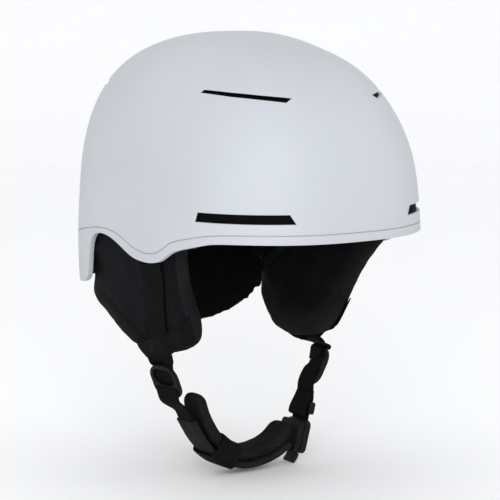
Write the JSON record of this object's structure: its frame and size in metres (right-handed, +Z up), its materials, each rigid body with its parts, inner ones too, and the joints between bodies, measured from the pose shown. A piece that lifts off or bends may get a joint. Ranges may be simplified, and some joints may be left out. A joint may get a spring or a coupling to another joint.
{
  "type": "ski helmet",
  "caption": "Ski helmet with a hard shell, slot vents, foam liner, soft ear pads, dial-adjusted nape cradle, padded chin strap with side-release magnetic buckle.",
  "frame": {"origin": "centre of the head opening, on the plane of the front brim and on the middle plane of the head", "axes": "+X towards the wearer's left, -Y the front, +Z up towards the crown"},
  "size_m": [0.2218, 0.2872, 0.3473],
  "materials": {
    "shell_paint": "matt cool white lacquer on moulded shell",
    "foam": "black expanded polystyrene, fine bead texture",
    "vent_plastic": "black moulded insert",
    "pad_shell_fabric": "black smooth knit over foam",
    "hem_fabric": "black woven band",
    "lining_fabric": "black brushed fleece",
    "webbing": "black ribbed polyester webbing",
    "sleeve_fabric": "black woven sleeve",
    "magnet_steel": "plated magnet",
    "buckle_plastic": "black moulded acetal",
    "fit_plastic": "black nylon",
    "retainer_plastic": "black moulded clip",
    "retainer_rubber": "black rubber"
  },
  "bodies": {
    "root": {"brow_pad": "lining_fabric", "cradle_guide": "fit_plastic", "crown_pad_middle": "lining_fabric", "crown_pad_side_left": "lining_fabric", "crown_pad_side_right": "lining_fabric", "ear_pad_fixed_left": "pad_shell_fabric", "ear_pad_fixed_right": "pad_shell_fabric", "foam_liner": "foam", "goggle_loop_stud": "retainer_plastic", "goggle_retainer_base": "retainer_plastic", "outer_shell": "shell_paint", "rim_moulding": "shell_paint", "side_strap_upper_left": "webbing", "side_strap_upper_right": "webbing", "strap_anchor_left": "fit_plastic", "strap_anchor_right": "fit_plastic", "temple_peg_left": "fit_plastic", "temple_peg_right": "fit_plastic", "vent_front_insert_left": "vent_plastic", "vent_front_insert_right": "vent_plastic", "vent_rear_insert_left": "vent_plastic", "vent_rear_insert_right": "vent_plastic", "vent_upper_insert_left": "vent_plastic", "vent_upper_insert_right": "vent_plastic"},
    "ear_flap_right": {"ear_pad_free_right": "pad_shell_fabric", "ear_pad_hem_right": "hem_fabric", "rear_strap_lower_right": "webbing", "side_strap_lower_right": "webbing", "strap_divider_right": "buckle_plastic"},
    "ear_flap_left": {"ear_pad_free_left": "pad_shell_fabric", "ear_pad_hem_left": "hem_fabric", "rear_strap_lower_left": "webbing", "side_strap_lower_left": "webbing", "strap_divider_left": "buckle_plastic"},
    "chin_strap": {"buckle_base": "buckle_plastic", "buckle_base_magnet": "magnet_steel", "chin_pad": "lining_fabric", "chin_strap_sleeve": "sleeve_fabric", "chin_webbing": "webbing", "strap_keeper": "sleeve_fabric"},
    "buckle_side_strap": {"buckle_strap": "webbing", "strap_slider": "buckle_plastic"},
    "buckle_cap": {"buckle_cap": "buckle_plastic", "buckle_cap_magnet": "magnet_steel", "buckle_pull_tab": "webbing"},
    "fit_cradle": {"cradle_frame": "fit_plastic", "dial_housing": "fit_plastic", "nape_pad": "lining_fabric"},
    "fit_dial": {"dial_knob": "fit_plastic", "dial_pinion": "fit_plastic"},
    "fit_band_left": {"fit_band_left": "fit_plastic"},
    "fit_band_right": {"fit_band_right": "fit_plastic"},
    "goggle_loop": {"goggle_loop": "retainer_rubber"}
  },
  "joints": [
    {"name": "ear_flap_right_flex", "type": "hinge", "parent": "root", "child": "ear_flap_right", "pos_m": [-0.1015, 0, -0.026], "axis": [0, 1, 0], "range_deg": [0, 25], "stiffness_Nm_per_rad": 0.6},
    {"name": "ear_flap_left_flex", "type": "hinge", "parent": "root", "child": "ear_flap_left", "pos_m": [0.1015, 0, -0.026], "axis": [0, -1, 0], "range_deg": [0, 25], "stiffness_Nm_per_rad": 0.6},
    {"name": "chin_strap_swing", "type": "hinge", "parent": "ear_flap_right", "child": "chin_strap", "pos_m": [-0.06445, 0.013, -0.13105], "axis": [0, 1, 0], "range_deg": [0, 45]},
    {"name": "buckle_strap_swing", "type": "hinge", "parent": "ear_flap_left", "child": "buckle_side_strap", "pos_m": [0.06845, 0.013, -0.13455], "axis": [0, -1, 0], "range_deg": [0, 30]},
    {"name": "buckle_release", "type": "slide", "parent": "buckle_side_strap", "child": "buckle_cap", "axis": [0, -1, 0], "range_m": [0, 0.016]},
    {"name": "cradle_height", "type": "slide", "parent": "root", "child": "fit_cradle", "axis": [0, 0, 1], "range_m": [-0.005, 0.005]},
    {"name": "fit_dial_turn", "type": "hinge", "parent": "fit_cradle", "child": "fit_dial", "pos_m": [0, 0.105, -0.06], "axis": [0, -1, 0], "range_deg": [0, 60]},
    {"name": "fit_band_left_slide", "type": "slide", "parent": "fit_cradle", "child": "fit_band_left", "axis": [-1, 0, 0], "range_m": [0, 0.005]},
    {"name": "fit_band_right_slide", "type": "slide", "parent": "fit_cradle", "child": "fit_band_right", "axis": [1, 0, 0], "range_m": [0, 0.0054]},
    {"name": "goggle_loop_hinge", "type": "hinge", "parent": "root", "child": "goggle_loop", "pos_m": [0, 0.1465, 0.03], "axis": [1, 0, 0], "range_deg": [0, 110]}
  ],
  "couplings": [
    {"joint": "fit_dial_turn", "follows": "fit_band_left_slide", "rad_per_m": 194.17},
    {"joint": "fit_band_right_slide", "follows": "fit_band_left_slide", "ratio": 1}
  ]
}
